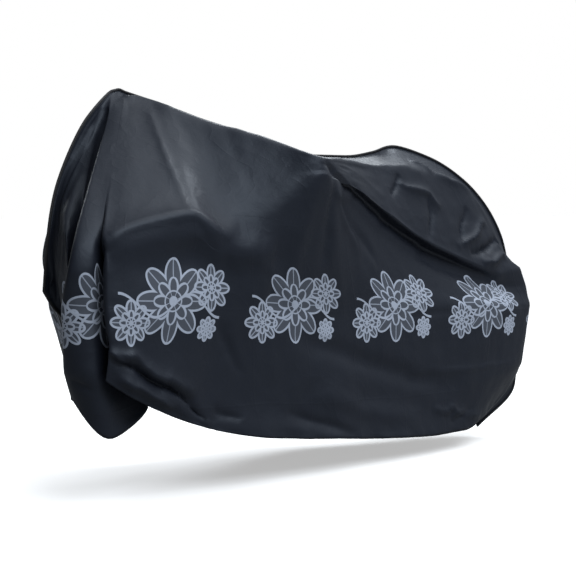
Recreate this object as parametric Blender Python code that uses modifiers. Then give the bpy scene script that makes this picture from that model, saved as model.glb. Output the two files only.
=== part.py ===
"""Fitted cover for a parked bicycle: two side panels of coated cloth, sewn edge to edge
under a folded binding along the top and both ends, and open underneath.

The tables below are in the parked bicycle's frame: x runs from the middle of the wheelbase
towards the rear wheel, y towards the bicycle's right side and z up from the ground, in metres.
The bars are turned to the left, so the right grip lifts the seam, the left grip pushes the left
panel out and the tyre opens a deep pleat beside it. The part's own origin is the place where
the cloth lies on the saddle.
"""

import bpy
import numpy as np

# Driving dimensions
CLOTH = 0.002  # thickness of the coated cloth
HEM = 0.005  # thickness of the hem over its elastic
HEM_WIDTH = 0.020  # height of the hem band
SEAM_GAP = 0.0006  # between the two panels where they are sewn together
SEAM_ALLOWANCE = 0.007  # height of the two edges that stand side by side under the binding
BINDING_THICKNESS = 0.0010
BINDING_GAP = 0.0004  # between the binding and the cloth inside it
BINDING_FOOT = 0.003  # the binding's legs end this far above the seam line
SADDLE_REST = np.array([0.400, -0.090, 0.950])  # underside of the cloth on the saddle

MESH_PITCH = 0.045  # aimed width of a column of faces
LEFT_ROWS = (2, 5, 2, 3, 5, 4)  # rows of faces between one level and the next
RIGHT_ROWS = (4, 8, 5, 4)

# The left panel, front to rear. Each section runs down the cloth through seven levels: the seam,
# the crown over the bars and the saddle, the shoulder fold, the hollow under it, the waist, the
# skirt above the hem, and the hem.
LEFT_SECTIONS = {
    # section:       seam                    crown                    shoulder                 under
    #                waist                   skirt                    hem
    "front seam": ((-0.760, 0.005, 0.560), (-0.735, 0.005, 0.520), (-0.695, 0.010, 0.470), (-0.690, 0.010, 0.405),
                   (-0.680, 0.015, 0.335), (-0.665, 0.020, 0.285), (-0.625, 0.020, 0.205)),
    "front wall": ((-0.750, 0.000, 0.695), (-0.755, -0.045, 0.655), (-0.760, -0.080, 0.605), (-0.755, -0.110, 0.540),
                   (-0.735, -0.105, 0.460), (-0.700, -0.060, 0.315), (-0.650, -0.035, 0.200)),
    "front valley": ((-0.725, 0.005, 0.825), (-0.725, -0.020, 0.795), (-0.760, -0.125, 0.715), (-0.770, -0.155, 0.645),
                     (-0.775, -0.160, 0.520), (-0.745, -0.135, 0.340), (-0.705, -0.115, 0.230)),
    "front gully": ((-0.630, 0.000, 1.030), (-0.620, -0.015, 0.985), (-0.718, -0.115, 0.742), (-0.738, -0.130, 0.655),
                    (-0.760, -0.135, 0.535), (-0.760, -0.150, 0.360), (-0.750, -0.155, 0.270)),
    "front fold": ((-0.540, 0.028, 1.110), (-0.565, -0.005, 1.075), (-0.832, -0.316, 0.697), (-0.842, -0.302, 0.625),
                   (-0.845, -0.272, 0.535), (-0.825, -0.245, 0.365), (-0.790, -0.225, 0.290)),
    "slit left": ((-0.525, 0.033, 1.114), (-0.557, -0.005, 1.078), (-0.788, -0.334, 0.690), (-0.792, -0.329, 0.630),
                  (-0.778, -0.311, 0.530), (-0.765, -0.310, 0.360), (-0.720, -0.280, 0.185)),
    "slit pocket": ((-0.515, 0.035, 1.116), (-0.550, -0.004, 1.080), (-0.768, -0.339, 0.713), (-0.730, -0.285, 0.665),
                    (-0.665, -0.230, 0.530), (-0.630, -0.215, 0.360), (-0.560, -0.205, 0.255)),
    "slit lip": ((-0.500, 0.036, 1.111), (-0.540, -0.003, 1.084), (-0.752, -0.343, 0.710), (-0.755, -0.345, 0.660),
                 (-0.755, -0.340, 0.545), (-0.750, -0.345, 0.425), (-0.755, -0.330, 0.350)),
    "headlamp": ((-0.455, 0.033, 1.090), (-0.480, 0.000, 1.105), (-0.695, -0.350, 0.735), (-0.690, -0.340, 0.685),
                 (-0.695, -0.345, 0.540), (-0.695, -0.355, 0.385), (-0.685, -0.330, 0.305)),
    "brace": ((-0.390, 0.020, 1.080), (-0.440, -0.045, 1.090), (-0.510, -0.350, 0.770), (-0.500, -0.320, 0.715),
              (-0.510, -0.320, 0.530), (-0.555, -0.345, 0.310), (-0.525, -0.315, 0.225)),
    "fork": ((-0.260, 0.010, 1.040), (-0.355, -0.130, 1.045), (-0.417, -0.340, 0.720), (-0.398, -0.315, 0.675),
             (-0.385, -0.300, 0.525), (-0.420, -0.305, 0.225), (-0.375, -0.300, 0.175)),
    "stem": ((-0.130, -0.005, 1.005), (-0.270, -0.215, 1.010), (-0.325, -0.342, 0.740), (-0.306, -0.329, 0.670),
             (-0.281, -0.306, 0.520), (-0.260, -0.290, 0.250), (-0.240, -0.285, 0.145)),
    "brake": ((-0.015, -0.020, 0.965), (-0.185, -0.300, 0.970), (-0.219, -0.366, 0.795), (-0.190, -0.340, 0.695),
              (-0.141, -0.291, 0.505), (-0.115, -0.275, 0.235), (-0.095, -0.265, 0.125)),
    "left grip": ((0.100, -0.040, 0.940), (-0.110, -0.380, 0.930), (-0.100, -0.390, 0.875), (-0.065, -0.355, 0.775),
                  (0.025, -0.260, 0.490), (0.030, -0.265, 0.255), (0.035, -0.255, 0.110)),
    "top tube": ((0.230, -0.050, 0.940), (0.065, -0.275, 0.920), (0.060, -0.310, 0.850), (0.055, -0.280, 0.800),
                 (0.175, -0.235, 0.485), (0.180, -0.235, 0.235), (0.185, -0.235, 0.090)),
    "saddle nose": ((0.330, -0.060, 0.955), (0.250, -0.185, 0.910), (0.255, -0.230, 0.770), (0.235, -0.205, 0.715),
                    (0.340, -0.215, 0.475), (0.340, -0.215, 0.220), (0.340, -0.215, 0.075)),
    "saddle": ((0.405, -0.070, 0.975), (0.395, -0.155, 0.910), (0.430, -0.190, 0.685), (0.435, -0.160, 0.630),
               (0.510, -0.195, 0.475), (0.500, -0.200, 0.225), (0.490, -0.195, 0.065)),
    "rack": ((0.560, -0.070, 0.940), (0.560, -0.120, 0.885), (0.600, -0.165, 0.625), (0.615, -0.135, 0.575),
             (0.670, -0.185, 0.470), (0.645, -0.190, 0.220), (0.615, -0.175, 0.065)),
    "mudguard": ((0.705, -0.070, 0.870), (0.695, -0.100, 0.845), (0.730, -0.150, 0.585), (0.745, -0.125, 0.540),
                 (0.800, -0.165, 0.460), (0.760, -0.175, 0.230), (0.700, -0.160, 0.085)),
    "tail": ((0.820, -0.065, 0.775), (0.805, -0.090, 0.745), (0.830, -0.135, 0.565), (0.845, -0.120, 0.520),
             (0.905, -0.140, 0.455), (0.865, -0.155, 0.245), (0.785, -0.135, 0.115)),
    "tail bow": ((0.895, -0.055, 0.675), (0.880, -0.090, 0.618), (0.935, -0.110, 0.582), (0.970, -0.105, 0.520),
                 (0.990, -0.105, 0.450), (0.940, -0.120, 0.255), (0.865, -0.115, 0.160)),
    "rear seam": ((0.930, -0.045, 0.595), (0.950, -0.040, 0.550), (0.970, -0.030, 0.500), (0.985, -0.030, 0.430),
                  (1.000, -0.025, 0.320), (0.985, -0.030, 0.165), (0.820, -0.025, 0.040)),
}

# The right panel, from the same seam. It hangs more slackly, over the back of the turned wheel
# and the right pedal. Its first and last sections are the seam itself.
RIGHT_SECTIONS = {
    # section:         crown                   side                    skirt                  hem
    "front wall": ((-0.740, 0.070, 0.640), (-0.705, 0.100, 0.500), (-0.655, 0.105, 0.330), (-0.605, 0.080, 0.205)),
    "front valley": ((-0.710, 0.080, 0.740), (-0.670, 0.135, 0.500), (-0.605, 0.150, 0.350), (-0.555, 0.120, 0.240)),
    "front gully": ((-0.625, 0.070, 0.900), (-0.600, 0.160, 0.520), (-0.525, 0.200, 0.370), (-0.480, 0.170, 0.270)),
    "front fold": ((-0.540, 0.100, 0.980), (-0.545, 0.175, 0.550), (-0.475, 0.225, 0.365), (-0.425, 0.190, 0.250)),
    "slit lip": ((-0.500, 0.110, 0.970), (-0.455, 0.195, 0.550), (-0.385, 0.245, 0.350), (-0.345, 0.205, 0.215)),
    "headlamp": ((-0.430, 0.105, 0.955), (-0.370, 0.200, 0.540), (-0.315, 0.245, 0.330), (-0.295, 0.205, 0.185)),
    "fork": ((-0.240, 0.075, 0.920), (-0.220, 0.155, 0.530), (-0.200, 0.200, 0.290), (-0.200, 0.175, 0.135)),
    "brake": ((-0.010, 0.035, 0.880), (-0.010, 0.135, 0.500), (-0.020, 0.200, 0.265), (-0.030, 0.180, 0.085)),
    "top tube": ((0.225, 0.000, 0.870), (0.200, 0.135, 0.500), (0.170, 0.215, 0.250), (0.150, 0.185, 0.058)),
    "saddle": ((0.410, 0.000, 0.900), (0.400, 0.100, 0.500), (0.360, 0.155, 0.250), (0.340, 0.140, 0.045)),
    "rack": ((0.565, -0.010, 0.840), (0.580, 0.080, 0.470), (0.540, 0.130, 0.240), (0.500, 0.115, 0.050)),
    "mudguard": ((0.715, -0.015, 0.760), (0.760, 0.070, 0.450), (0.710, 0.110, 0.235), (0.640, 0.100, 0.055)),
    "tail": ((0.835, -0.020, 0.680), (0.895, 0.050, 0.430), (0.840, 0.080, 0.230), (0.745, 0.075, 0.060)),
    "tail bow": ((0.905, 0.000, 0.600), (0.975, 0.045, 0.420), (0.925, 0.050, 0.215), (0.800, 0.035, 0.060)),
}

# Soft folds of the right panel, in side view: where each starts and ends as x, z, how far it
# stands out (or, below zero, in), and its half width.
RIGHT_FOLDS = {
    "from the grip, front": ((-0.560, 1.000), (-0.640, 0.200), -0.022, 0.045),
    "from the grip, down": ((-0.510, 1.020), (-0.490, 0.150), 0.020, 0.045),
    "from the grip, rear": ((-0.470, 1.000), (-0.180, 0.200), -0.024, 0.050),
    "between bars and saddle": ((-0.150, 0.950), (-0.060, 0.150), 0.018, 0.060),
    "below the saddle, front": ((0.300, 0.900), (0.090, 0.200), -0.020, 0.055),
    "below the saddle": ((0.420, 0.900), (0.330, 0.150), 0.018, 0.050),
    "below the saddle, rear": ((0.480, 0.850), (0.620, 0.200), -0.018, 0.055),
    "over the rear wheel": ((0.660, 0.800), (0.860, 0.300), 0.014, 0.050),
}

COLORS = {
    "left_panel": ("coated_cloth", (0.030, 0.033, 0.041), 0.42),
    "right_panel": ("coated_cloth", (0.030, 0.033, 0.041), 0.42),
    "spine_binding": ("binding_tape", (0.012, 0.012, 0.014), 0.70),
}


def eased(rows, at):
    """The rows read at fractional row numbers: a cubic through every row that never overshoots."""
    step = np.diff(rows, axis=0)
    before, after = step[:-1], step[1:]
    total = np.where(np.abs(before + after) < 1e-12, 1.0, before + after)
    slope = np.zeros_like(rows)
    slope[1:-1] = np.where(before * after > 0, 2 * before * after / total, 0.0)
    slope[0], slope[-1] = step[0], step[-1]
    row = np.clip(np.floor(at).astype(int), 0, len(rows) - 2)
    share = (at - row).reshape((-1,) + (1,) * (rows.ndim - 1))
    squared, cubed = share**2, share**3
    return (
        rows[row] * (2 * cubed - 3 * squared + 1)
        + slope[row] * (cubed - 2 * squared + share)
        + rows[row + 1] * (3 * squared - 2 * cubed)
        + slope[row + 1] * (cubed - squared)
    )


def steps_between(counts):
    """Fractional numbers from 0 to len(counts), with counts[i] even steps from i to i + 1."""
    return np.concatenate([i + np.arange(n) / n for i, n in enumerate(counts)] + [[len(counts)]])


def levels_of(counts, net):
    """Fractional level numbers of the rows. The last row of faces is the hem band."""
    levels = steps_between(counts)
    skirt_height = np.linalg.norm(net[:, -1] - net[:, -2], axis=1).mean()
    levels[-2] = levels[-1] - HEM_WIDTH / skirt_height
    return levels


def columns_of(net):
    """Fractional section numbers of the columns, about a mesh pitch apart on the cloth."""
    gaps = np.linalg.norm(np.diff(net, axis=0), axis=2).mean(axis=1)
    return steps_between(np.maximum(1, np.round(gaps / MESH_PITCH)).astype(int))


def between_levels(across, levels):
    """Each column of points read at fractional level numbers, in straight lines from level to level."""
    low = np.minimum(levels.astype(int), across.shape[1] - 2)
    share = (levels - low)[:, None]
    return across[:, low] * (1 - share) + across[:, low + 1] * share


def normals_of(grid):
    along = np.gradient(grid, axis=0)
    down = np.gradient(grid, axis=1)
    normal = np.cross(along, down)
    return normal / np.maximum(np.linalg.norm(normal, axis=2, keepdims=True), 1e-9)


def folded(grid, folds, outward):
    """The grid pushed along its normals by each fold, which fades to its sides and its ends."""
    normal = normals_of(grid)
    normal *= np.sign(normal @ outward)[..., None]
    side_view = grid[..., [0, 2]]
    push = np.zeros(grid.shape[:2])
    for start, end, height, width in folds.values():
        run = np.subtract(end, start)
        along = np.clip((side_view - start) @ run / (run @ run), 0, 1)
        away = np.linalg.norm(side_view - start - along[..., None] * run, axis=2)
        push += height * np.exp(-((away / width) ** 2)) * np.sin(np.pi * along) ** 0.5
    push[0] = push[-1] = push[:, 0] = 0
    return grid + push[..., None] * normal


def left_grid():
    """(stations, grid) of the left panel's middle surface, column by column, from seam to hem."""
    net = np.array(list(LEFT_SECTIONS.values())) - SADDLE_REST
    stations = columns_of(net)
    levels = levels_of(LEFT_ROWS, net)
    grid = between_levels(eased(net, stations), levels)
    grid[0], grid[-1] = eased(net[0], levels), eased(net[-1], levels)
    return stations, grid


def right_grid(stations, left):
    """Grid of the right panel, whose border on the seam is the left panel's."""
    names = list(LEFT_SECTIONS)
    own = np.array(list(RIGHT_SECTIONS.values())) - SADDLE_REST
    level_rows = np.cumsum(RIGHT_ROWS)
    numbers = [0] + [names.index(name) for name in RIGHT_SECTIONS] + [len(names) - 1]
    net = np.concatenate([[left[0, level_rows]], own, [left[-1, level_rows]]])
    across = eased(net, np.interp(stations, numbers, np.arange(len(numbers))))
    grid = between_levels(np.concatenate([left[:, :1], across], axis=1), levels_of(RIGHT_ROWS, own))
    grid = folded(grid, RIGHT_FOLDS, np.array([0.0, 1.0, 0.0]))
    grid[0], grid[-1] = left[0], left[-1]
    return grid


def seam_line(grid):
    """Row numbers and column numbers of the border on the seam: up the front, along the top, down the rear."""
    columns, rows = grid.shape[0] - 1, grid.shape[1] - 1
    column = [0] * rows + list(range(columns + 1)) + [columns] * rows
    row = list(range(rows, 0, -1)) + [0] * (columns + 1) + list(range(1, rows + 1))
    return np.array(column), np.array(row)


def seam_frame(line):
    """For each point of the seam: the way across it, towards the bicycle's right, and the way outwards."""
    tangent = np.gradient(line, axis=0)
    tangent /= np.linalg.norm(tangent, axis=1, keepdims=True)
    across = np.array([0.0, 1.0, 0.0]) - tangent[:, 1:2] * tangent
    across /= np.linalg.norm(across, axis=1, keepdims=True)
    outward = np.cross(tangent, across)
    return across, outward


def panel_points(grid, side):
    """(points, faces, weights) of a panel with the seam allowance standing along its border.

    side is -1 for the left panel and 1 for the right one.
    """
    columns, rows = grid.shape[:2]
    column, row = seam_line(grid)
    across, outward = seam_frame(grid[column, row])
    offset = side * (SEAM_GAP + CLOTH) / 2 * across
    grid = grid.copy()
    grid[column, row] += offset
    border = column * rows + row
    number = np.arange(columns * rows).reshape(columns, rows)
    cloth = np.stack(
        [number[:-1, :-1], number[:-1, 1:], number[1:, 1:], number[1:, :-1]], axis=-1
    ).reshape(-1, 4)
    standing = columns * rows + np.arange(len(border))
    edge = np.stack([border[:-1], border[1:], standing[1:], standing[:-1]], axis=-1)
    faces = np.concatenate([cloth, edge])
    points = np.concatenate([grid.reshape(-1, 3), grid[column, row] + SEAM_ALLOWANCE * outward])
    weights = np.zeros(len(points))
    weights[number[1:-1, -2:]] = 1.0
    return points, faces[:, [0, 3, 2, 1]] if side > 0 else faces, weights


def sheet_object(name, points, faces, weights, thickness, thin_share, collection):
    """A named sheet: the open surface made solid, thick where its weights are 1."""
    mesh = bpy.data.meshes.new(name)
    mesh.from_pydata(points.tolist(), [], faces.tolist())
    mesh.shade_smooth()
    sheet = bpy.data.objects.new(name, mesh)
    collection.objects.link(sheet)
    group = sheet.vertex_groups.new(name="hem")
    for weight in np.unique(weights):
        group.add(np.flatnonzero(weights == weight).tolist(), float(weight), "REPLACE")
    solid = sheet.modifiers.new("Thickness", "SOLIDIFY")
    solid.thickness = thickness
    solid.offset = 0.0
    solid.vertex_group = "hem"
    solid.thickness_vertex_group = thin_share
    mesh.materials.append(finish(name))
    return sheet


def finish(name):
    title, color, roughness = COLORS[name]
    material = bpy.data.materials.get(title) or bpy.data.materials.new(title)
    material.use_nodes = True
    shader = material.node_tree.nodes["Principled BSDF"]
    shader.inputs["Base Color"].default_value = (*color, 1.0)
    shader.inputs["Roughness"].default_value = roughness
    shader.inputs["Metallic"].default_value = 0.0
    return material


def binding_points(line):
    """(points, faces) of the tape folded over the standing edges, from foot to foot."""
    across, outward = seam_frame(line)
    half = SEAM_GAP / 2 + CLOTH + BINDING_GAP + BINDING_THICKNESS / 2
    shoulder = SEAM_ALLOWANCE + BINDING_GAP + BINDING_THICKNESS / 2
    top = shoulder + half / 4
    profile = ((-half, BINDING_FOOT), (-half, shoulder), (0.0, top), (half, shoulder), (half, BINDING_FOOT))
    points = np.stack([line + side * across + up * outward for side, up in profile], axis=1)
    count, width = points.shape[:2]
    number = np.arange(count * width).reshape(count, width)
    faces = np.stack([number[:-1, :-1], number[:-1, 1:], number[1:, 1:], number[1:, :-1]], axis=-1)
    return points.reshape(-1, 3), faces.reshape(-1, 4)


def main():
    for thing in list(bpy.data.objects):
        bpy.data.objects.remove(thing, do_unlink=True)
    cover = bpy.data.collections.new("bicycle_cover")
    bpy.context.scene.collection.children.link(cover)

    stations, left = left_grid()
    right = right_grid(stations, left)
    for name, grid, side in (("left_panel", left, -1), ("right_panel", right, 1)):
        sheet_object(name, *panel_points(grid, side), HEM, CLOTH / HEM, cover)

    points, faces = binding_points(left[seam_line(left)])
    plain = np.zeros(len(points))
    sheet_object("spine_binding", points, faces, plain, BINDING_THICKNESS, 1.0, cover)


main()
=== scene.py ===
import bpy
import numpy as np
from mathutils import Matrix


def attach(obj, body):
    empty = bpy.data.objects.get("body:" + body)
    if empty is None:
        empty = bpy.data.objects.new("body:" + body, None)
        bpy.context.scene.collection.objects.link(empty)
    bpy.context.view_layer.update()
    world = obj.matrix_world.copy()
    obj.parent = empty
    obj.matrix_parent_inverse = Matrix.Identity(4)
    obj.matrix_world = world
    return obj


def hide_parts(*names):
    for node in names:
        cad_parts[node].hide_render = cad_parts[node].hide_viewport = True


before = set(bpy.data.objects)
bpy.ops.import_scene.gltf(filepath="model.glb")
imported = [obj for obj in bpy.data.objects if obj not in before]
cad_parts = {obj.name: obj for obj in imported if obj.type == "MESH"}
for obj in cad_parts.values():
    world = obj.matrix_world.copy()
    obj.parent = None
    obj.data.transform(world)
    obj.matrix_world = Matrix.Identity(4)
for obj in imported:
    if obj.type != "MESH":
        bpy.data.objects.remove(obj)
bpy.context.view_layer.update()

cloth = {
    "thickness": 0.0012,
    "pitch": 0.008,  # between the mesh's rows and its columns
    "softening": 0.010,  # radius of a soft crease
    "color": (0.0095, 0.0115, 0.0180),
    "roughness": 0.50,
    "roughnessSpread": 0.16,  # how far it varies over the cloth
    "gloss": 0.30,
    "glossTint": (0.78, 0.88, 1.0),
    # small and slow unevenness: height, and spread in mesh rows
    "unevenness": ((0.0005, 2.0), (0.0018, 10.0)),
    # creases between flat patches: height, and spread in mesh rows
    "facets": ((0.0012, 6.0), (0.0007, 3.2)),
    "crowdSpread": 2.0,  # mesh rows over which unevenness fades where columns crowd together
    "borderRows": 6,  # mesh rows beside the seam over which creases fade in
    "leftSeed": 3,
    "rightSeed": 5,
}
# Fine relief in the finish. Each noise has its scale, detail, roughness and distortion.
relief = {
    "crinkle": (26.0, 5.0, 0.55, 0.6),
    "broad": (7.0, 3.0, 0.5, 0.0),
    "slow": (7.0, 2.0, 0.5, 0.3),
    "wrinkles": 1.4,  # strength of the wrinkle lines
    "wrinkleWidth": 0.0008,
    "packing": 0.22,  # strength of the packing creases
    "strength": 0.6,
    "depth": 0.0022,
}
# Straight creases from the folded cover's packing: spacing and shift along the cloth and down it.
packing = {
    "along": (0.21, 0.13),
    "down": (0.27, 0.005),
    "width": 0.004,
    "wander": 0.006,
    "top": 0.26,  # height above the waist where they stop
    "smoothness": 0.3,
}
hem = {"width": 0.020, "thickness": 0.0040}
seam = {
    "gap": 0.0006,  # between the two panels' edges
    "allowance": 0.007,  # the edges stand up this far inside the binding
    "blendRows": 8,  # mesh rows over which the right panel runs onto the seam
}
binding = {
    "thickness": 0.0010,
    "gap": 0.0004,
    "foot": 0.003,
    "room": 0.002,  # on each side, for one standing edge of the cloth
    "bow": 0.35,  # height of its rounded top, as a share of its half width
    "bowPoints": 7,
    "color": (0.012, 0.012, 0.014),
    "roughness": 0.7,
}
artwork = {
    "repeat": 0.435,  # length of one repeat of the printed band
    "start": 0.025,  # where the first repeat starts before the front seam
    "color": (0.33, 0.37, 0.45),
    "line": 0.0030,  # half width of a drawn line
    "stem": 0.030,  # half height of the stem's wave
    "waves": 2,  # of the stem in one repeat
    "stemLine": 1.2,  # width of the stem's line, in drawn lines
    "reach": 0.165,  # half length of the stem
    # flowers: across the repeat, up, radius
    "flowers": (
        (0.217, 0.012, 0.112),
        (0.088, -0.045, 0.058),
        (0.350, 0.050, 0.062),
        (0.345, -0.062, 0.032),
    ),
}
# One flower. Its sizes are shares of its radius and its widths count drawn lines.
flower = {
    "petals": 8,
    "petalDepth": 0.42,
    "inner": 0.55,  # size of the flower drawn inside it
    "ring": 0.24,
    "heart": 0.12,
    "innerLine": 0.7,
    "veinLine": 2.2,
    "veinTint": 0.8,
    "petalTint": 0.16,
}
# The light around: strength everywhere, what comes on top of it from one side, and its tint.
surroundings = {"around": 0.03, "above": 0.70, "from": (0.45, -0.20, 0.84), "tint": (0.90, 0.95, 1.0)}
sky = {"power": 1.15, "width": 50, "turned": (12, 20, 0)}  # widths and turns in degrees
lamps = {
    # lamp: (place, towards, size, power)
    "rim": ((1.3, 1.7, 1.5), (0.05, 0.0, -0.05), (1.2, 0.8), 22),
    "window": ((0.95, 0.10, 1.45), (0.02, -0.05, -0.02), (0.35, 0.25), 15),
    "front": ((-0.4, -3.0, 2.2), (-0.2, 0.0, -0.3), (3.4, 2.0), 116),
    "back": ((-0.6, 3.4, 1.8), (-0.3, 0.1, -0.4), (2.6, 1.5), 75),
}
ground = {
    "level": -0.950,  # under the wheels
    "halfSize": 60.0,
    "roughness": 0.9,
    "shade": 0.25,  # the grey that the cloth sees
    "paleness": 0.55,  # and how much paler the camera sees it
    "glow": 0.45,  # light that only the camera sees
}
view = {
    "place": (-2.663, -3.208, -0.150),
    "turn": -35.0,  # degrees
    "tilt": -3.72,
    "lens": 81.6,
    "sensor": 36.0,
    "farthest": 200.0,
    "pixels": 576,
}
saddleRest = np.array([0.400, -0.090, 0.950])  # the tables' place for the frame's origin

# The cloth's sections, front to rear, in the parked bicycle's frame: x towards the rear wheel,
# y towards the bicycle's right side, z up from the ground. The left panel's levels run down
# from the seam: seam, crown and shoulder, then the hollow under it, waist, skirt and hem.
leftSections = {
    "front seam": (
        (-0.760, 0.005, 0.560), (-0.735, 0.005, 0.520), (-0.695, 0.010, 0.470),
        (-0.690, 0.010, 0.405), (-0.680, 0.015, 0.335), (-0.665, 0.020, 0.285), (-0.625, 0.020, 0.205),
    ),
    "front wall": (
        (-0.750, 0.000, 0.695), (-0.755, -0.045, 0.655), (-0.760, -0.080, 0.605),
        (-0.755, -0.110, 0.540), (-0.735, -0.105, 0.460), (-0.700, -0.060, 0.315), (-0.650, -0.035, 0.200),
    ),
    "front valley": (
        (-0.725, 0.005, 0.825), (-0.725, -0.020, 0.795), (-0.760, -0.125, 0.715),
        (-0.770, -0.155, 0.645), (-0.775, -0.160, 0.520), (-0.745, -0.135, 0.340), (-0.705, -0.115, 0.230),
    ),
    "front gully": (
        (-0.630, 0.000, 1.030), (-0.612, -0.005, 0.992), (-0.706, -0.095, 0.742),
        (-0.722, -0.108, 0.655), (-0.748, -0.118, 0.535), (-0.760, -0.150, 0.360), (-0.750, -0.155, 0.270),
    ),
    "front fold": (
        (-0.540, 0.028, 1.110), (-0.5639, -0.0031, 1.0726), (-0.832, -0.316, 0.697),
        (-0.842, -0.302, 0.625), (-0.845, -0.272, 0.535), (-0.825, -0.245, 0.365), (-0.790, -0.225, 0.290),
    ),
    "slit left": (
        (-0.525, 0.033, 1.114), (-0.5541, -0.0032, 1.0771), (-0.7915, -0.3398, 0.6973),
        (-0.792, -0.329, 0.630), (-0.778, -0.311, 0.530), (-0.765, -0.310, 0.360), (-0.720, -0.280, 0.185),
    ),
    "slit pocket": (
        (-0.515, 0.035, 1.116), (-0.546, -0.0033, 1.0809), (-0.767, -0.3373, 0.7109),
        (-0.730, -0.285, 0.665), (-0.665, -0.230, 0.530), (-0.630, -0.215, 0.360), (-0.560, -0.205, 0.255),
    ),
    "slit lip": (
        (-0.500, 0.036, 1.111), (-0.5313, -0.0035, 1.0877), (-0.7529, -0.3445, 0.7119),
        (-0.755, -0.345, 0.660), (-0.755, -0.340, 0.545), (-0.750, -0.345, 0.425), (-0.755, -0.330, 0.350),
    ),
    "headlamp": (
        (-0.460, 0.033, 1.100), (-0.4825, -0.0042, 1.106), (-0.695, -0.350, 0.735),
        (-0.690, -0.340, 0.685), (-0.695, -0.345, 0.540), (-0.695, -0.355, 0.385), (-0.685, -0.330, 0.305),
    ),
    "brace": (
        (-0.390, 0.020, 1.080), (-0.440, -0.045, 1.090), (-0.510, -0.350, 0.770),
        (-0.500, -0.320, 0.715), (-0.510, -0.320, 0.530), (-0.555, -0.345, 0.310), (-0.525, -0.315, 0.225),
    ),
    "fork": (
        (-0.260, 0.010, 1.040), (-0.355, -0.130, 1.045), (-0.417, -0.340, 0.720),
        (-0.398, -0.315, 0.675), (-0.385, -0.300, 0.525), (-0.420, -0.305, 0.225), (-0.375, -0.300, 0.175),
    ),
    "stem": (
        (-0.130, -0.005, 1.005), (-0.270, -0.215, 1.010), (-0.325, -0.342, 0.740),
        (-0.306, -0.329, 0.670), (-0.281, -0.306, 0.520), (-0.260, -0.290, 0.250), (-0.240, -0.285, 0.145),
    ),
    "brake": (
        (-0.015, -0.020, 0.965), (-0.185, -0.300, 0.970), (-0.219, -0.366, 0.795),
        (-0.190, -0.340, 0.695), (-0.141, -0.291, 0.505), (-0.115, -0.275, 0.235), (-0.095, -0.265, 0.125),
    ),
    "left grip": (
        (0.100, -0.040, 0.940), (-0.110, -0.380, 0.930), (-0.100, -0.390, 0.875),
        (-0.065, -0.355, 0.775), (0.025, -0.260, 0.490), (0.030, -0.265, 0.255), (0.035, -0.255, 0.110),
    ),
    "top tube": (
        (0.230, -0.050, 0.940), (0.065, -0.275, 0.920), (0.060, -0.310, 0.850),
        (0.055, -0.280, 0.800), (0.175, -0.235, 0.485), (0.180, -0.235, 0.235), (0.185, -0.235, 0.090),
    ),
    "saddle nose": (
        (0.330, -0.060, 0.955), (0.250, -0.185, 0.910), (0.255, -0.230, 0.770),
        (0.235, -0.205, 0.715), (0.340, -0.215, 0.475), (0.340, -0.215, 0.220), (0.340, -0.215, 0.075),
    ),
    "saddle": (
        (0.405, -0.070, 0.975), (0.395, -0.155, 0.910), (0.430, -0.190, 0.685),
        (0.435, -0.160, 0.630), (0.510, -0.195, 0.475), (0.500, -0.200, 0.225), (0.490, -0.195, 0.065),
    ),
    "rack": (
        (0.560, -0.070, 0.940), (0.560, -0.120, 0.885), (0.600, -0.165, 0.625),
        (0.615, -0.135, 0.575), (0.670, -0.185, 0.470), (0.645, -0.190, 0.220), (0.615, -0.175, 0.065),
    ),
    "mudguard": (
        (0.705, -0.070, 0.870), (0.695, -0.100, 0.845), (0.730, -0.150, 0.585),
        (0.745, -0.125, 0.540), (0.800, -0.165, 0.460), (0.760, -0.175, 0.230), (0.700, -0.160, 0.085),
    ),
    "tail": (
        (0.820, -0.065, 0.775), (0.805, -0.090, 0.745), (0.830, -0.135, 0.565),
        (0.845, -0.120, 0.520), (0.905, -0.140, 0.455), (0.865, -0.155, 0.245), (0.785, -0.135, 0.115),
    ),
    "tail bow": (
        (0.895, -0.055, 0.675), (0.880, -0.090, 0.618), (0.935, -0.110, 0.582),
        (0.970, -0.105, 0.520), (0.990, -0.105, 0.450), (0.940, -0.120, 0.255), (0.865, -0.115, 0.160),
    ),
    "rear seam": (
        (0.930, -0.045, 0.595), (0.950, -0.040, 0.550), (0.970, -0.030, 0.500),
        (0.985, -0.030, 0.430), (1.000, -0.025, 0.320), (0.985, -0.030, 0.165), (0.820, -0.025, 0.040),
    ),
}
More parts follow.
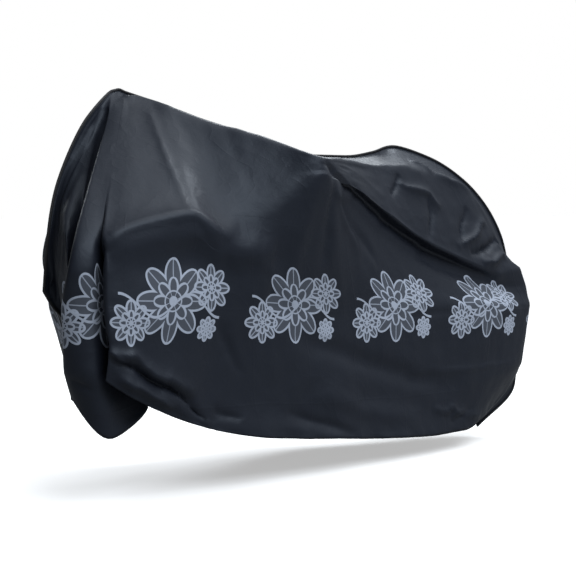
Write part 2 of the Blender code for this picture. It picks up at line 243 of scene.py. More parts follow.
# The right panel's own levels: crown, side, skirt and hem.
rightSections = {
    "front wall": (
        (-0.740, 0.070, 0.640), (-0.705, 0.100, 0.500), (-0.655, 0.105, 0.330), (-0.605, 0.080, 0.205),
    ),
    "front valley": (
        (-0.710, 0.080, 0.740), (-0.670, 0.135, 0.500), (-0.605, 0.150, 0.350), (-0.555, 0.120, 0.240),
    ),
    "front gully": (
        (-0.625, 0.070, 0.900), (-0.600, 0.160, 0.520), (-0.525, 0.200, 0.370), (-0.480, 0.170, 0.270),
    ),
    "front fold": (
        (-0.540, 0.100, 0.980), (-0.545, 0.175, 0.550), (-0.475, 0.225, 0.365), (-0.425, 0.190, 0.250),
    ),
    "slit lip": (
        (-0.500, 0.110, 0.970), (-0.455, 0.195, 0.550), (-0.385, 0.245, 0.350), (-0.345, 0.205, 0.215),
    ),
    "headlamp": (
        (-0.430, 0.105, 0.955), (-0.370, 0.200, 0.540), (-0.315, 0.245, 0.330), (-0.295, 0.205, 0.185),
    ),
    "fork": (
        (-0.240, 0.075, 0.920), (-0.220, 0.155, 0.530), (-0.200, 0.200, 0.290), (-0.200, 0.175, 0.135),
    ),
    "brake": (
        (-0.010, 0.035, 0.880), (-0.010, 0.135, 0.500), (-0.020, 0.200, 0.265), (-0.030, 0.180, 0.085),
    ),
    "top tube": (
        (0.225, 0.000, 0.870), (0.200, 0.135, 0.500), (0.170, 0.215, 0.250), (0.150, 0.185, 0.058),
    ),
    "saddle": (
        (0.410, 0.000, 0.900), (0.400, 0.100, 0.500), (0.360, 0.155, 0.250), (0.340, 0.140, 0.045),
    ),
    "rack": (
        (0.565, -0.010, 0.840), (0.580, 0.080, 0.470), (0.540, 0.130, 0.240), (0.500, 0.115, 0.050),
    ),
    "mudguard": (
        (0.715, -0.015, 0.760), (0.760, 0.070, 0.450), (0.710, 0.110, 0.235), (0.640, 0.100, 0.055),
    ),
    "tail": (
        (0.835, -0.020, 0.680), (0.895, 0.050, 0.430), (0.840, 0.080, 0.230), (0.745, 0.075, 0.060),
    ),
    "tail bow": (
        (0.905, 0.000, 0.600), (0.975, 0.045, 0.420), (0.925, 0.050, 0.215), (0.800, 0.035, 0.060),
    ),
}

# How the left panel is shaped between its sections, by section numbers and level numbers.
flatFace = {
    # from the peak down to the slit the cloth is one flat face between the first and last of these
    "sections": (4, 5, 6, 7, 8),
    "shares": (0.0, 0.306, 0.489, 0.593, 1.0),  # where across the face each of them lies
    "levels": (0.5, 2.0),
    "fades": (0.5, 0.22),  # levels over which it begins and ends
}
crispFold = {
    # the shoulder keeps its crisp fold where the cloth is stretched over the bars
    "sections": ((7.6, 9.9), (13.6, 18.6)),
    "level": 2.0,
    "reach": 0.22,
    "rows": 0.45,  # its softening, in mesh rows
}
looseCloth = {
    # zone: (first and last section, level, reach, softening, directions: 0 along, 1 down)
    "slack below the bars": ((10.7, 12.4), 2.2, 0.7, 0.045, (0, 1)),
    "face rounding into the skirt": ((3.0, 6.0), 2.3, 0.9, 0.050, (1,)),
}
faceTurn = {
    # the flat face turns softly into the next one
    "sections": (7.3, 8.8),
    "levels": (0.8, 1.95),
    "fades": (0.2, 0.2),
    "softening": 0.040,
}

# Creases: points as (section, level), how far they stand out, half width, and how
# crisp they are, from 1 (a sharp ridge) to 2 (a soft roll).
leftCreases = {
    # crease: (path, height, half width, crispness)
    "front wall, upper streak": (
        ((3.10, 0.70), (2.60, 0.95), (2.10, 1.15), (1.60, 1.40)),
        0.006, 0.012, 1.5,
    ),
    "front wall, lower streak": (
        ((2.60, 1.25), (2.10, 1.60), (1.60, 1.95), (1.10, 2.20)),
        0.006, 0.014, 1.5,
    ),
    "beside the peak": (((7.10, 0.45), (7.50, 0.55), (7.95, 0.75)), 0.004, 0.016, 2.0),
    "ridge from the peak": (((8.62, 1.08), (8.79, 1.38), (8.92, 1.71), (8.96, 2.00)), 0.007, 0.014, 1.3),
    "second ridge": (((9.00, 1.12), (9.38, 1.33), (9.75, 1.50), (10.12, 1.62)), 0.002, 0.030, 2.0),
    "shoulder crease": (
        ((6.58, 2.00), (7.67, 2.00), (9.00, 2.00), (10.00, 2.00), (10.46, 2.30)),
        0.006, 0.009, 1.2,
    ),
    "recess under the ridge": (
        ((13.10, 1.20), (13.50, 1.80), (13.90, 2.15), (14.54, 2.32), (15.54, 2.42),
         (16.30, 2.50), (17.20, 2.52), (18.60, 2.50)),
        -0.036, 0.017, 1.4,
    ),
    "ridge to the tail": (
        ((13.17, 1.04), (13.54, 1.55), (14.00, 2.00), (15.00, 2.02), (16.08, 2.00),
         (17.17, 2.00), (18.40, 2.05)),
        0.007, 0.009, 1.2,
    ),
    "grip fan, down": (((13.29, 1.38), (13.33, 2.46), (13.04, 3.17), (12.83, 3.54)), -0.012, 0.020, 1.6),
    "grip fan, inner": (((13.25, 2.08), (13.67, 3.12), (13.96, 3.29), (14.12, 3.46)), 0.009, 0.014, 1.6),
    "grip fan, outer": (((13.54, 2.79), (14.04, 3.21), (14.42, 3.33), (14.67, 3.50)), -0.009, 0.014, 1.6),
    "grip fan, front": (((12.88, 1.71), (12.62, 2.42), (12.29, 3.08), (11.96, 3.58)), 0.008, 0.032, 2.0),
    "behind the saddle": (((15.54, 1.25), (15.92, 1.29), (16.46, 1.29), (16.75, 1.42)), 0.012, 0.011, 1.2),
    "beside the saddle": (((15.67, 1.12), (15.25, 1.54)), -0.012, 0.009, 1.3),
    "over the rack": (((16.50, 1.30), (16.45, 1.55), (16.21, 1.92)), -0.011, 0.011, 1.3),
    "over the mudguard": (((17.83, 1.25), (17.46, 1.54), (17.21, 1.83)), -0.011, 0.011, 1.3),
    "rear pleat, upper": (((17.08, 1.83), (17.88, 1.62), (18.70, 1.17)), 0.017, 0.010, 1.2),
    "rear pleat, lower": (((17.50, 1.88), (18.42, 1.70), (19.40, 1.20)), -0.020, 0.010, 1.3),
    "rear wedge": (((18.00, 1.93), (18.60, 1.85), (19.50, 1.50)), 0.018, 0.012, 1.3),
    "strip by the saddle": (((16.25, 0.58), (16.54, 0.58), (16.79, 0.88)), 0.010, 0.008, 1.2),
    "ridge behind the saddle": (((16.79, 0.88), (17.38, 0.96), (18.21, 0.71)), 0.008, 0.010, 1.3),
    "ridge along the top": (
        ((13.33, 1.00), (14.25, 1.00), (15.33, 0.92), (16.12, 0.88)),
        0.008, 0.008, 1.3,
    ),
    "hem fold": (
        ((7.25, 5.20), (7.75, 5.12), (8.21, 5.00), (8.46, 5.17), (8.96, 5.12), (9.46, 5.00), (9.75, 5.38)),
        -0.028, 0.011, 1.2,
    ),
    "hem flare": (((7.62, 5.71), (8.25, 5.50), (8.62, 5.54), (8.92, 5.71)), 0.016, 0.014, 1.4),
    "over the hem fold": (
        ((7.30, 4.98), (7.75, 4.90), (8.21, 4.80), (8.50, 4.95), (8.96, 4.92), (9.50, 4.85)),
        0.011, 0.013, 1.3,
    ),
    "front crumple": (((7.00, 4.96), (7.71, 5.04), (8.21, 4.71)), 0.009, 0.008, 1.2),
    "hem crumple": (((10.08, 4.92), (10.33, 5.21), (10.54, 5.42)), -0.008, 0.010, 1.4),
    "rear hem crumple": (((16.04, 5.71), (16.75, 5.62), (17.92, 5.83)), 0.009, 0.009, 1.2),
    "crumple above the rear hem": (
        ((15.79, 5.46), (16.21, 5.58), (16.42, 5.46), (16.71, 5.67)),
        0.009, 0.009, 1.2,
    ),
    "hollow above the rear hem": (((15.95, 5.62), (16.45, 5.72), (17.30, 5.62)), -0.008, 0.010, 1.4),
    "long roll below the print": (
        ((11.90, 4.24), (12.60, 4.42), (13.80, 4.64), (15.20, 4.85), (16.60, 5.05)),
        -0.012, 0.030, 2.0,
    ),
    "roll above the hem": (((12.40, 5.02), (13.71, 5.40), (15.42, 5.60)), 0.009, 0.030, 2.0),
    "corner at the hem": (((11.67, 5.29), (12.38, 5.62), (13.60, 5.92)), -0.012, 0.016, 1.6),
    "packing line at the rear": (
        ((15.12, 4.78), (16.25, 4.83), (17.46, 4.83), (19.20, 4.92)),
        0.004, 0.007, 1.2,
    ),
    "packing line through the print": (
        ((13.60, 4.05), (15.50, 4.10), (17.40, 4.05), (19.40, 4.00)),
        -0.003, 0.007, 1.2,
    ),
    "fold below the shoulder": (((11.35, 3.20), (11.79, 3.67), (12.10, 4.05)), 0.006, 0.022, 1.8),
    "fold beside the print": (((9.85, 4.15), (10.29, 4.42), (10.62, 4.70)), -0.006, 0.012, 1.6),
    "swell below the shoulder": (
        ((7.20, 2.80), (8.60, 2.85), (9.60, 2.90), (10.60, 2.95), (11.60, 3.10)),
        0.026, 0.046, 2.0,
    ),
    "flare at the hem": (
        ((9.80, 5.95), (11.00, 5.95), (13.00, 5.98), (15.00, 6.00), (18.60, 6.00)),
        0.016, 0.055, 2.0,
    ),
    "lip of the slit": (((7.15, 2.60), (7.15, 3.40), (7.20, 4.20), (7.25, 4.80)), 0.010, 0.010, 1.5),
    "trough before the front fold": (
        ((3.62, 0.70), (3.60, 1.30), (3.58, 1.90), (3.55, 2.60)),
        -0.018, 0.022, 1.6,
    ),
    "belly of the front": (((7.30, 3.90), (8.60, 3.90), (9.60, 3.90), (11.40, 3.90)), 0.020, 0.110, 2.0),
    "crease beside the tyre": (((4.21, 5.29), (4.54, 5.25), (4.92, 5.21)), -0.008, 0.010, 1.4),
}
# The same for the right panel, on its own levels.
rightCreases = {
    "from the grip, front": (((4.2, 0.5), (2.8, 1.6), (2.0, 3.0)), -0.022, 0.040, 2.0),
    "from the grip, down": (((5.6, 0.4), (5.9, 1.8), (6.2, 3.4)), 0.020, 0.040, 2.0),
    "from the grip, rear": (((7.8, 0.3), (9.4, 1.5), (10.8, 3.0)), -0.024, 0.045, 2.0),
    "between bars and saddle": (((11.6, 0.4), (11.9, 1.8), (12.4, 3.4)), 0.018, 0.055, 2.0),
    "below the saddle, front": (((15.4, 0.6), (14.4, 1.8), (13.6, 3.0)), -0.020, 0.050, 2.0),
    "below the saddle": (((16.0, 0.5), (15.8, 1.8), (15.6, 3.3)), 0.018, 0.045, 2.0),
    "below the saddle, rear": (((16.4, 0.6), (17.0, 1.8), (17.4, 3.0)), -0.018, 0.050, 2.0),
    "over the rear wheel": (((18.4, 0.6), (19.4, 1.6), (20.0, 2.6)), 0.014, 0.045, 2.0),
}
creasePath = {
    "steps": 5,  # from one written point to the next
    "repeat": 0.0001,  # a step shorter than this is left out
    "spare": 30,  # mesh columns beside a crease that it can still push
    "fade": 0.5,  # 1 for a slow fade towards its ends, 0 for none
}
leftSide, rightSide = -1, 1  # outwards from each panel, along y
softEdge, firmEdge = 2, 4  # powers in the fall-off around a level
waistLevel, sideLevel = 4, 2  # where the printed band's middle runs on each panel


def blended(share, first, second):
    # the first grid where the share is 1, the second where it is 0
    return share * first + (1 - share) * second


def eased(rows, at):
    # a cubic through every row, read at fractional row numbers, that never overshoots
    step = np.diff(rows, axis=0)
    before, after = step[:-1], step[1:]
    total = np.where(np.abs(before + after) < 1e-12, 1.0, before + after)
    slope = np.zeros_like(rows)
    slope[1:-1] = np.where(before * after > 0, 2 * before * after / total, 0.0)
    slope[0], slope[-1] = step[0], step[-1]
    row = np.clip(np.floor(at).astype(int), 0, len(rows) - 2)
    share = (at - row).reshape((-1,) + (1,) * (rows.ndim - 1))
    squared, cubed = share**2, share**3
    return (
        rows[row] * (2 * cubed - 3 * squared + 1)
        + slope[row] * (cubed - 2 * squared + share)
        + rows[row + 1] * (3 * squared - 2 * cubed)
        + slope[row + 1] * (cubed - squared)
    )


def betweenLevels(across, levels):
    # straight from each level of a section to the next
    low = np.minimum(levels.astype(int), across.shape[1] - 2)
    share = (levels - low)[:, None]
    return across[:, low] * (1 - share) + across[:, low + 1] * share


def evenNumbers(net, axis, count=None):
    # fractional section (axis 0) or level (axis 1) numbers, an even way apart on the cloth;
    # without a count they lie about one pitch apart
    gaps = np.linalg.norm(np.diff(net, axis=axis), axis=2).mean(axis=1 - axis)
    reached = np.concatenate([[0.0], np.cumsum(gaps)])
    count = count or int(reached[-1] / cloth["pitch"]) + 1
    return np.interp(np.linspace(0, reached[-1], count), reached, np.arange(len(reached)))


def softened(grid, samples, axes=(0, 1)):
    # a bell-shaped average along each direction, which leaves the border where it is;
    # the bell ends at three times its spread, which is given in mesh rows
    reach = int(3 * samples) + 1
    bell = np.exp(-0.5 * (np.arange(-reach, reach + 1) / samples) ** 2)
    bell /= bell.sum()
    for axis in axes:
        lines = np.moveaxis(grid, axis, 0)
        start = 2 * lines[:1] - lines[reach:0:-1]
        end = 2 * lines[-1:] - lines[-2 : -reach - 2 : -1]
        padded = np.concatenate([start, lines, end])
        lines = sum(weight * padded[i : i + len(lines)] for i, weight in enumerate(bell))
        grid = np.moveaxis(lines, 0, axis)
    return grid


def normalsOf(grid):
    normal = np.cross(np.gradient(grid, axis=0), np.gradient(grid, axis=1))
    return normal / np.maximum(np.linalg.norm(normal, axis=2, keepdims=True), 1e-9)


def betweenMarks(places, start, end):
    # 1 between the two marks, fading to 0 over half a section beyond each
    return np.clip(np.minimum(places - start, end - places) * 2 + 1, 0, 1)


def insideMarks(places, marks, fades):
    # 0 outside the two marks, and 1 once it is further in than their fades
    return np.clip((places - marks[0]) / fades[0], 0, 1) * np.clip((marks[1] - places) / fades[1], 0, 1)


def nearLevel(levels, middle, reach, power):
    # e to the power of minus (distance / reach) ^ power
    return np.exp(-(((levels - middle) / reach) ** power))


def borderFade(shape):
    # 0 on the seam, 1 from some rows or columns away from it
    columns, rows = shape
    column, row = np.arange(columns), np.arange(rows)
    side = np.clip(np.minimum(column, columns - 1 - column) / cloth["borderRows"], 0, 1)
    return np.minimum.outer(side, np.clip(row / cloth["borderRows"], 0, 1))


def awayFrom(points, line):
    # for each point: its distance from the line, and how far along the line that is, from 0 to 1
    best = np.full(len(points), np.inf)
    along = np.zeros(len(points))
    lengths = np.linalg.norm(np.diff(line, axis=0), axis=1)
    reached = np.concatenate([[0.0], np.cumsum(lengths)]) / lengths.sum()
    for i, length in enumerate(lengths):
        run = line[i + 1] - line[i]
        share = np.clip((points - line[i]) @ run / (length * length), 0, 1)
        away = np.linalg.norm(points - line[i] - share[:, None] * run, axis=1)
        closer = away < best
        best[closer] = away[closer]
        along[closer] = reached[i] + (reached[i + 1] - reached[i]) * share[closer]
    return best, along


def creaseLine(path, grid, sections, levels):
    # the mesh columns that a crease crosses, and its points on the cloth without repeats
    path = np.array(path)
    marks = np.arange(len(path))
    steps = np.linspace(0, marks[-1], creasePath["steps"] * marks[-1] + 1)
    section, level = [np.interp(steps, marks, path[:, k]) for k in (0, 1)]
    column = np.interp(section, sections, np.arange(len(sections))).round().astype(int)
    row = np.interp(level, levels, np.arange(len(levels))).round().astype(int)
    line = grid[column, row]
    fresh = np.linalg.norm(np.diff(line, axis=0), axis=1) > creasePath["repeat"]
    return column, line[np.concatenate([[True], fresh])]


def creased(grid, sections, levels, creases, side):
    # the grid pushed outwards along its normals by each crease, which fades towards its ends;
    # push = height * e to the power of minus (distance / half width) ^ crispness
    outward = side * normalsOf(grid)
    push = np.zeros(grid.shape[:2])
    spare = creasePath["spare"]
    for path, height, halfWidth, crispness in creases.values():
        column, line = creaseLine(path, grid, sections, levels)
        near = slice(max(0, column.min() - spare), column.max() + spare + 1)
        away, along = awayFrom(grid[near].reshape(-1, 3), line)
        ends = np.clip(np.sin(np.pi * along), 0, 1) ** creasePath["fade"]
        bump = height * np.exp(-((away / halfWidth) ** crispness)) * ends
        push[near] += bump.reshape(push[near].shape)
    return grid + borderFade(push.shape)[..., None] * push[..., None] * outward


def uneven(grid, side, seed):
    # small and slow unevenness, from softened random heights
    rng = np.random.default_rng(seed)
    outward = side * normalsOf(grid)
    push = np.zeros(grid.shape[:2])
    for height, samples in cloth["unevenness"]:
        field = softened(rng.standard_normal(push.shape)[..., None], samples)[..., 0]
        push += height * field / field.std()
    # crisp creases run where a slow random field changes sign
    for height, samples in cloth["facets"]:
        field = softened(rng.standard_normal(push.shape)[..., None], samples)[..., 0]
        push -= height * np.abs(field / field.std())
    # less of it where the columns crowd together
    room = np.clip(np.linalg.norm(np.gradient(grid, axis=0), axis=2) / cloth["pitch"], 0, 1) ** 2
    room = softened(room[..., None], cloth["crowdSpread"])
    return grid + (borderFade(push.shape) * push)[..., None] * room * outward


def leftPanelGrid(net, sections, levels):
    grid = betweenLevels(eased(net, sections), levels)
    grid[0], grid[-1] = eased(net[0], levels), eased(net[-1], levels)

    # the flat face is a straight blend between its first and last sections
    first, last = betweenLevels(net[[flatFace["sections"][0], flatFace["sections"][-1]]], levels)
    share = np.interp(sections, flatFace["sections"], flatFace["shares"])[:, None, None]
    inside = (share > 0) & (share < 1)
    flat = inside * insideMarks(levels, flatFace["levels"], flatFace["fades"])[:, None]
    grid = blended(flat, blended(share, last, first), grid)

    # everything is softened, but the crisp fold only a little
    down = nearLevel(levels, crispFold["level"], crispFold["reach"], softEdge)
    crisp = sum(np.outer(betweenMarks(sections, *marks), down) for marks in crispFold["sections"])
    rolled = softened(grid, cloth["softening"] / cloth["pitch"])
    grid = blended(crisp[..., None], softened(grid, crispFold["rows"]), rolled)

    for marks, level, reach, softening, directions in looseCloth.values():
        loose = np.outer(betweenMarks(sections, *marks), nearLevel(levels, level, reach, firmEdge))
        rolled = softened(grid, softening / cloth["pitch"], directions)
        grid = blended(loose[..., None], rolled, grid)

    down = insideMarks(levels, faceTurn["levels"], faceTurn["fades"])
    turn = np.outer(betweenMarks(sections, *faceTurn["sections"]), down)
    grid = blended(turn[..., None], softened(grid, faceTurn["softening"] / cloth["pitch"]), grid)

    grid = creased(grid, sections, levels, leftCreases, leftSide)
    return uneven(grid, leftSide, cloth["leftSeed"])


def rightPanelGrid(net, sections, leftGrid):
    # the right panel hangs from the left panel's seam, which also gives its first and last sections
    columns, rows = leftGrid.shape[:2]
    down = np.arange(1, net.shape[1] + 1) / net.shape[1]
    seamRows = np.interp(down, np.linspace(0, 1, rows), np.arange(rows)).astype(int)
    net = np.concatenate([[leftGrid[0, seamRows]], net, [leftGrid[-1, seamRows]]])
    names = list(leftSections)
    known = [0] + [names.index(name) for name in rightSections] + [len(names) - 1]
    net = eased(net, np.interp(sections, known, np.arange(len(known))))
    net = np.concatenate([leftGrid[:, :1], net], axis=1)
    levels = evenNumbers(net, 1, rows)
    grid = betweenLevels(net, levels)
    grid[0], grid[-1] = leftGrid[0], leftGrid[-1]
    grid = softened(grid, cloth["softening"] / cloth["pitch"])

    # back onto the shared seam, fading over the first rows and columns
    down = np.clip(1 - np.arange(rows) / seam["blendRows"], 0, 1)
    grid += (leftGrid[:, :1] - grid[:, :1]) * down[None, :, None]
    along = np.clip(1 - np.arange(columns) / seam["blendRows"], 0, 1)
    for end, fade in ((0, along), (-1, along[::-1])):
        grid += (leftGrid[end] - grid[end])[None] * fade[:, None, None]

    grid = creased(grid, sections, levels, rightCreases, rightSide)
    return uneven(grid, rightSide, cloth["rightSeed"]), levels


def seamLine(grid):
    # up the front seam from the hem, along the top, and down the rear seam
    return np.concatenate([grid[0, :0:-1], grid[:, 0], grid[-1, 1:]])


def seamFrame(line):
    # two directions along the seam line: across it, and out of the cloth
    tangent = np.gradient(line, axis=0)
    tangent /= np.linalg.norm(tangent, axis=1, keepdims=True)
    across = np.array([0.0, 1.0, 0.0]) - tangent[:, 1:2] * tangent
    across /= np.linalg.norm(across, axis=1, keepdims=True)
    return across, np.cross(tangent, across)


def quads(number):
    corners = (number[:-1, :-1], number[:-1, 1:], number[1:, 1:], number[1:, :-1])
    return np.stack(corners, axis=-1).reshape(-1, 4)


def clothMaps(grid, middleRow):
    # metres along the printed band's middle and metres above it
    along = np.linalg.norm(np.diff(grid[:, middleRow], axis=0), axis=1)
    down = np.linalg.norm(np.diff(grid, axis=1), axis=2)
    u = np.concatenate([[0.0], np.cumsum(along)])
    v = np.concatenate([np.zeros((len(grid), 1)), np.cumsum(down, axis=1)], axis=1)
    return np.repeat(u[:, None], grid.shape[1], axis=1), v[:, middleRow, None] - v


def newSheet(name, points, faces, thickness, material):
    mesh = bpy.data.meshes.new(name)
    mesh.from_pydata(points.tolist(), [], faces.tolist())
    mesh.shade_smooth()
    mesh.materials.append(material)
    piece = bpy.data.objects.new(name, mesh)
    bpy.context.scene.collection.objects.link(piece)
    solid = piece.modifiers.new("Thickness", "SOLIDIFY")
    solid.thickness = thickness
    solid.offset = 0.0
    return piece


def panel(name, grid, middleRow, side, material):
    columns, rows = grid.shape[:2]
    number = np.arange(columns * rows).reshape(columns, rows)
    border = seamLine(number)
    across, outward = seamFrame(seamLine(grid))
    # the border moves off the seam's middle, and its allowance stands up from it
    points = grid.reshape(-1, 3).copy()
    points[border] += side * (seam["gap"] + cloth["thickness"]) / 2 * across
    standing = points[border] + seam["allowance"] * outward
    points = np.concatenate([points, standing])
    edge = quads(np.stack([border, columns * rows + np.arange(len(border))]).T)
    faces = np.concatenate([quads(number), edge[:, ::-1]])
    piece = newSheet(name, points, faces[:, ::-1] if side > 0 else faces, cloth["thickness"], material)
    mesh = piece.data

    u, v = clothMaps(grid, middleRow)
    maps = np.stack([u.ravel(), v.ravel()], axis=1)
    maps = np.concatenate([maps, maps[border]])
    layer = mesh.uv_layers.new(name="cloth")
    corner = np.empty(len(mesh.loops), np.int32)
    mesh.loops.foreach_get("vertex_index", corner)
    layer.uv.foreach_set("vector", maps[corner].astype(np.float32).ravel())

    # the cloth is thicker where the hem folds it back
    hemRows = max(2, int(round(hem["width"] / cloth["pitch"])))
    group = piece.vertex_groups.new(name="hem")
    group.add(number[1:-1, -hemRows:].ravel().tolist(), 1.0, "REPLACE")
    solid = piece.modifiers["Thickness"]
    solid.thickness = hem["thickness"]
    solid.vertex_group = "hem"
    solid.thickness_vertex_group = cloth["thickness"] / hem["thickness"]
    return piece


def bindingTape(line, material):
    # a tape folded over both standing edges: its profile is two sides and a rounded top
    across, outward = seamFrame(line)
    half = seam["gap"] / 2 + binding["room"] + binding["gap"] + binding["thickness"] / 2
    shoulder = seam["allowance"] + binding["gap"] + binding["thickness"] / 2
    profile = [(-half, binding["foot"])]
    for turned in np.linspace(0, np.pi, binding["bowPoints"]):
        profile.append((-half * np.cos(turned), shoulder + binding["bow"] * half * np.sin(turned)))
    profile.append((half, binding["foot"]))
    points = np.stack([line + side * across + up * outward for side, up in profile], axis=1)
    number = np.arange(points.shape[0] * points.shape[1]).reshape(points.shape[:2])
    return newSheet("bindingTape", points.reshape(-1, 3), quads(number), binding["thickness"], material)


def plainMaterial(name, color, roughness):
    material = bpy.data.materials.new(name)
    material.use_nodes = True
    shader = material.node_tree.nodes["Principled BSDF"]
    shader.inputs["Base Color"].default_value = (*color, 1.0)
    shader.inputs["Roughness"].default_value = roughness
    return material


def mathNode(tree, operation, *values):
    node = tree.nodes.new("ShaderNodeMath")
    node.operation = operation
    for socket, value in zip(node.inputs, values):
        if isinstance(value, (int, float)):
            socket.default_value = value
        else:
            tree.links.new(value, socket)
    return node.outputs[0]


def mixedColor(tree, share, first, second):
    # the first color where the share is 0, the second where it is 1
    mix = tree.nodes.new("ShaderNodeMix")
    mix.data_type = "RGBA"
    mix.inputs["A"].default_value = (*first, 1.0)
    mix.inputs["B"].default_value = (*second, 1.0)
    tree.links.new(share, mix.inputs["Factor"])
    return mix.outputs["Result"]


def noiseNode(tree, scale, detail, roughness, distortion):
    coordinates = tree.nodes.new("ShaderNodeTexCoord")
    noise = tree.nodes.new("ShaderNodeTexNoise")
    noise.inputs["Scale"].default_value = scale
    noise.inputs["Detail"].default_value = detail
    noise.inputs["Roughness"].default_value = roughness
    noise.inputs["Distortion"].default_value = distortion
    tree.links.new(coordinates.outputs["Object"], noise.inputs["Vector"])
    return noise.outputs[0]


def either(tree, *masks):
    total = masks[0]
    for mask in masks[1:]:
        total = mathNode(tree, "MAXIMUM", total, mask)
    return total


def flowerMask(tree, u, v, acrossRepeat, up, radius):
    # an outlined flower, with an inner flower, veins and a heart;
    # the petals' edge lies at radius * (1 - depth + depth * |cos(half the petals * angle)|)
    x = mathNode(tree, "SUBTRACT", u, acrossRepeat)
    y = mathNode(tree, "SUBTRACT", v, up)
    squares = mathNode(tree, "ADD", mathNode(tree, "MULTIPLY", x, x), mathNode(tree, "MULTIPLY", y, y))
    away = mathNode(tree, "SQRT", squares)
    halfPetals = flower["petals"] / 2
    angle = mathNode(tree, "MULTIPLY", mathNode(tree, "ARCTAN2", y, x), halfPetals)
    depth = flower["petalDepth"] * radius
    wave = mathNode(tree, "ABSOLUTE", mathNode(tree, "COSINE", angle))
    edge = mathNode(tree, "MULTIPLY_ADD", wave, depth, radius - depth)
    innerEdge = mathNode(tree, "MULTIPLY", edge, flower["inner"])
    # a line's width is measured across it, so it is wider outwards where the petal's edge is steep
    turning = mathNode(tree, "SINE", angle)
    slope = mathNode(tree, "DIVIDE", mathNode(tree, "MULTIPLY", turning, halfPetals * depth), away)
    steep = mathNode(tree, "SQRT", mathNode(tree, "MULTIPLY_ADD", slope, slope, 1.0))
    line = mathNode(tree, "MULTIPLY", steep, artwork["line"])
    thinLine = mathNode(tree, "MULTIPLY", line, flower["innerLine"])
    outline = mathNode(tree, "COMPARE", away, edge, line)
    inner = mathNode(tree, "COMPARE", away, innerEdge, thinLine)
    ring = mathNode(tree, "COMPARE", away, flower["ring"] * radius, flower["innerLine"] * artwork["line"])
    heart = mathNode(tree, "LESS_THAN", away, flower["heart"] * radius)
    petals = mathNode(tree, "LESS_THAN", away, edge)
    # each vein is as wide at its tip as at its root
    narrow = mathNode(tree, "DIVIDE", flower["veinLine"] * artwork["line"], away)
    veins = mathNode(tree, "LESS_THAN", mathNode(tree, "ABSOLUTE", turning), narrow)
    veins = mathNode(tree, "MULTIPLY", veins, mathNode(tree, "GREATER_THAN", away, innerEdge))
    veins = mathNode(tree, "MULTIPLY", mathNode(tree, "MULTIPLY", veins, petals), flower["veinTint"])
    tinted = mathNode(tree, "MULTIPLY", petals, flower["petalTint"])
    return either(tree, outline, inner, ring, heart, veins, tinted)


def artworkMask(tree, u, v):
    # a repeated band of flowers on a waving stem: 1 where it is printed, 0 on plain cloth
    repeat = artwork["repeat"]
    moved = mathNode(tree, "ADD", u, artwork["start"])
    share = mathNode(tree, "FRACT", mathNode(tree, "DIVIDE", moved, repeat))
    across = mathNode(tree, "MULTIPLY", share, repeat)
    wave = mathNode(tree, "SINE", mathNode(tree, "MULTIPLY", share, 2 * np.pi * artwork["waves"]))
    height = mathNode(tree, "MULTIPLY", wave, artwork["stem"])
    stem = mathNode(tree, "COMPARE", v, height, artwork["stemLine"] * artwork["line"])
    reach = mathNode(tree, "COMPARE", across, repeat / 2, artwork["reach"])
    flowers = [flowerMask(tree, across, v, *place) for place in artwork["flowers"]]
    return either(tree, mathNode(tree, "MULTIPLY", stem, reach), *flowers)


def packingCreases(tree, u, v, noise):
    # thin lines left by the folded cover's packing, which wander a little with the noise
    below = mathNode(tree, "LESS_THAN", v, packing["top"])
    lines = []
    for coordinate, (spacing, shift) in ((u, packing["along"]), (v, packing["down"])):
        moved = mathNode(tree, "ADD", coordinate, shift)
        wandering = mathNode(tree, "MULTIPLY_ADD", noise, packing["wander"], moved)
        away = mathNode(tree, "PINGPONG", wandering, spacing / 2)
        rise = mathNode(tree, "SUBTRACT", 1.0, mathNode(tree, "DIVIDE", away, packing["width"]))
        line = mathNode(tree, "SMOOTH_MAX", rise, 0.0, packing["smoothness"])
        lines.append(mathNode(tree, "MULTIPLY", line, below))
    return mathNode(tree, "ADD", *lines)


def clothRelief(tree, u, v, broad):
    # the height of the finish: crinkles, broad swells, wrinkle lines and packing creases
    crinkle = noiseNode(tree, *relief["crinkle"])
    # wrinkle lines run where a slow noise passes its middle value
    slow = noiseNode(tree, *relief["slow"])
    away = mathNode(tree, "ABSOLUTE", mathNode(tree, "SUBTRACT", slow, 0.5))
    wrinkles = mathNode(tree, "SQRT", mathNode(tree, "ADD", away, relief["wrinkleWidth"]))
    creases = packingCreases(tree, u, v, broad)
    height = mathNode(tree, "MULTIPLY_ADD", creases, relief["packing"], crinkle)
    height = mathNode(tree, "ADD", broad, height)
    return mathNode(tree, "MULTIPLY_ADD", wrinkles, -relief["wrinkles"], height)


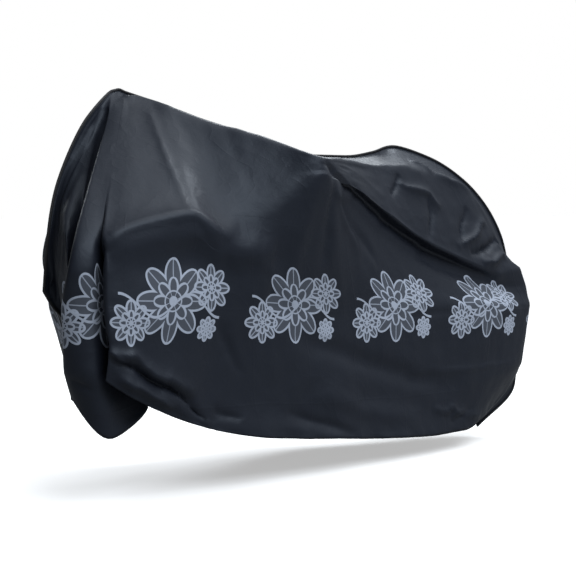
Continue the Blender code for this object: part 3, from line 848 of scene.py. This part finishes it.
def clothMaterial():
    material = plainMaterial("coated cloth", cloth["color"], cloth["roughness"])
    tree = material.node_tree
    shader = tree.nodes["Principled BSDF"]
    shader.inputs["Specular IOR Level"].default_value = cloth["gloss"]
    shader.inputs["Specular Tint"].default_value = (*cloth["glossTint"], 1.0)
    maps = tree.nodes.new("ShaderNodeUVMap")
    maps.uv_map = "cloth"
    parts = tree.nodes.new("ShaderNodeSeparateXYZ")
    tree.links.new(maps.outputs[0], parts.inputs[0])
    u, v = parts.outputs[0], parts.outputs[1]

    printed = mixedColor(tree, artworkMask(tree, u, v), cloth["color"], artwork["color"])
    tree.links.new(printed, shader.inputs["Base Color"])

    broad = noiseNode(tree, *relief["broad"])
    spread = cloth["roughnessSpread"]
    rough = mathNode(tree, "MULTIPLY_ADD", broad, spread, cloth["roughness"] - spread / 2)
    tree.links.new(rough, shader.inputs["Roughness"])

    bump = tree.nodes.new("ShaderNodeBump")
    bump.inputs["Strength"].default_value = relief["strength"]
    bump.inputs["Distance"].default_value = relief["depth"]
    tree.links.new(clothRelief(tree, u, v, broad), bump.inputs["Height"])
    tree.links.new(bump.outputs[0], shader.inputs["Normal"])
    return material


def addLight(name, place, towards, size, power):
    light = bpy.data.lights.new(name, "AREA")
    light.shape = "RECTANGLE"
    light.size, light.size_y = size
    light.energy = power
    light.color = surroundings["tint"]
    holder = bpy.data.objects.new(name, light)
    holder.location = place
    way = np.subtract(towards, place)
    turn = np.arctan2(way[1], way[0]) - np.pi / 2
    tilt = np.arctan2(way[2], np.hypot(way[0], way[1])) + np.pi / 2
    holder.rotation_euler = (tilt, 0.0, turn)
    bpy.context.scene.collection.objects.link(holder)


def addFloor():
    side, level = ground["halfSize"], ground["level"]
    corners = [(-side, -side, level), (side, -side, level), (side, side, level), (-side, side, level)]
    mesh = bpy.data.meshes.new("floor")
    mesh.from_pydata(corners, [], [(0, 1, 2, 3)])
    pale = ground["shade"] + ground["paleness"]
    paleFloor = plainMaterial("pale floor", (pale, pale, pale), ground["roughness"])
    mesh.materials.append(paleFloor)
    floor = bpy.data.objects.new("floor", mesh)
    bpy.context.scene.collection.objects.link(floor)
    # pale where the camera sees it, but it throws little light up into the cloth
    tree = paleFloor.node_tree
    shader = tree.nodes["Principled BSDF"]
    shader.inputs["Specular IOR Level"].default_value = 0.0
    shader.inputs["Emission Color"].default_value = (1.0, 1.0, 1.0, 1.0)
    seen = tree.nodes.new("ShaderNodeLightPath").outputs["Is Camera Ray"]
    grey = tree.nodes.new("ShaderNodeCombineColor")
    shade = mathNode(tree, "MULTIPLY_ADD", seen, ground["paleness"], ground["shade"])
    for channel in grey.inputs[:3]:
        tree.links.new(shade, channel)
    tree.links.new(grey.outputs[0], shader.inputs["Base Color"])
    glow = mathNode(tree, "MULTIPLY", seen, ground["glow"])
    tree.links.new(glow, shader.inputs["Emission Strength"])


def addWorld():
    # a soft light, strongest from above and from the right; white where the camera sees it
    world = bpy.data.worlds.new("studio")
    bpy.context.scene.world = world
    world.use_nodes = True
    tree = world.node_tree
    background = tree.nodes["Background"]
    coordinates = tree.nodes.new("ShaderNodeTexCoord")
    facing = tree.nodes.new("ShaderNodeVectorMath")
    facing.operation = "DOT_PRODUCT"
    facing.inputs[1].default_value = surroundings["from"]
    tree.links.new(coordinates.outputs["Generated"], facing.inputs[0])
    above = mathNode(tree, "MAXIMUM", facing.outputs["Value"], 0.0)
    strength = mathNode(tree, "MULTIPLY_ADD", above, surroundings["above"], surroundings["around"])
    seen = tree.nodes.new("ShaderNodeLightPath").outputs["Is Camera Ray"]
    tree.links.new(mathNode(tree, "MAXIMUM", strength, seen), background.inputs["Strength"])
    tint = mixedColor(tree, seen, surroundings["tint"], (1.0, 1.0, 1.0))
    tree.links.new(tint, background.inputs["Color"])


def addSky():
    # a very wide sun, so its shadows have no edges
    sun = bpy.data.lights.new("sky", "SUN")
    sun.energy = sky["power"]
    sun.angle = np.radians(sky["width"])
    holder = bpy.data.objects.new("sky", sun)
    holder.rotation_euler = np.radians(sky["turned"])
    bpy.context.scene.collection.objects.link(holder)


def addCamera():
    lens = bpy.data.cameras.new("camera")
    lens.lens = view["lens"]
    lens.sensor_width = view["sensor"]
    lens.clip_end = view["farthest"]
    holder = bpy.data.objects.new("camera", lens)
    holder.location = view["place"]
    holder.rotation_euler = (np.radians(90 + view["tilt"]), 0.0, np.radians(view["turn"]))
    scene = bpy.context.scene
    scene.collection.objects.link(holder)
    scene.camera = holder
    scene.render.resolution_x = scene.render.resolution_y = view["pixels"]
    scene.view_settings.view_transform = "Standard"


leftNet = np.array(list(leftSections.values())) - saddleRest
sections = evenNumbers(leftNet, 0)
leftLevels = evenNumbers(leftNet, 1)
leftGrid = leftPanelGrid(leftNet, sections, leftLevels)
print("left panel shaped", leftGrid.shape)

rightNet = np.array(list(rightSections.values())) - saddleRest
rightGrid, rightLevels = rightPanelGrid(rightNet, sections, leftGrid)
print("right panel shaped", rightGrid.shape)

coatedCloth = clothMaterial()
tapeCloth = plainMaterial("binding tape", binding["color"], binding["roughness"])
waistRow = int(np.argmin(np.abs(leftLevels - waistLevel)))
sideRow = int(np.argmin(np.abs(rightLevels - sideLevel)))
left = panel("leftPanel", leftGrid, waistRow, leftSide, coatedCloth)
right = panel("rightPanel", rightGrid, sideRow, rightSide, coatedCloth)
tape = bindingTape(seamLine(leftGrid), tapeCloth)
for piece, node, slotName in (
    (left, "left_panel", "coated_cloth"),
    (right, "right_panel", "coated_cloth"),
    (tape, "spine_binding", "binding_tape"),
):
    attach(piece, "root")
    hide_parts(node)
print("cover made")

addFloor()
addWorld()
addSky()
for name, lamp in lamps.items():
    addLight(name, *lamp)
addCamera()
print("studio lit")
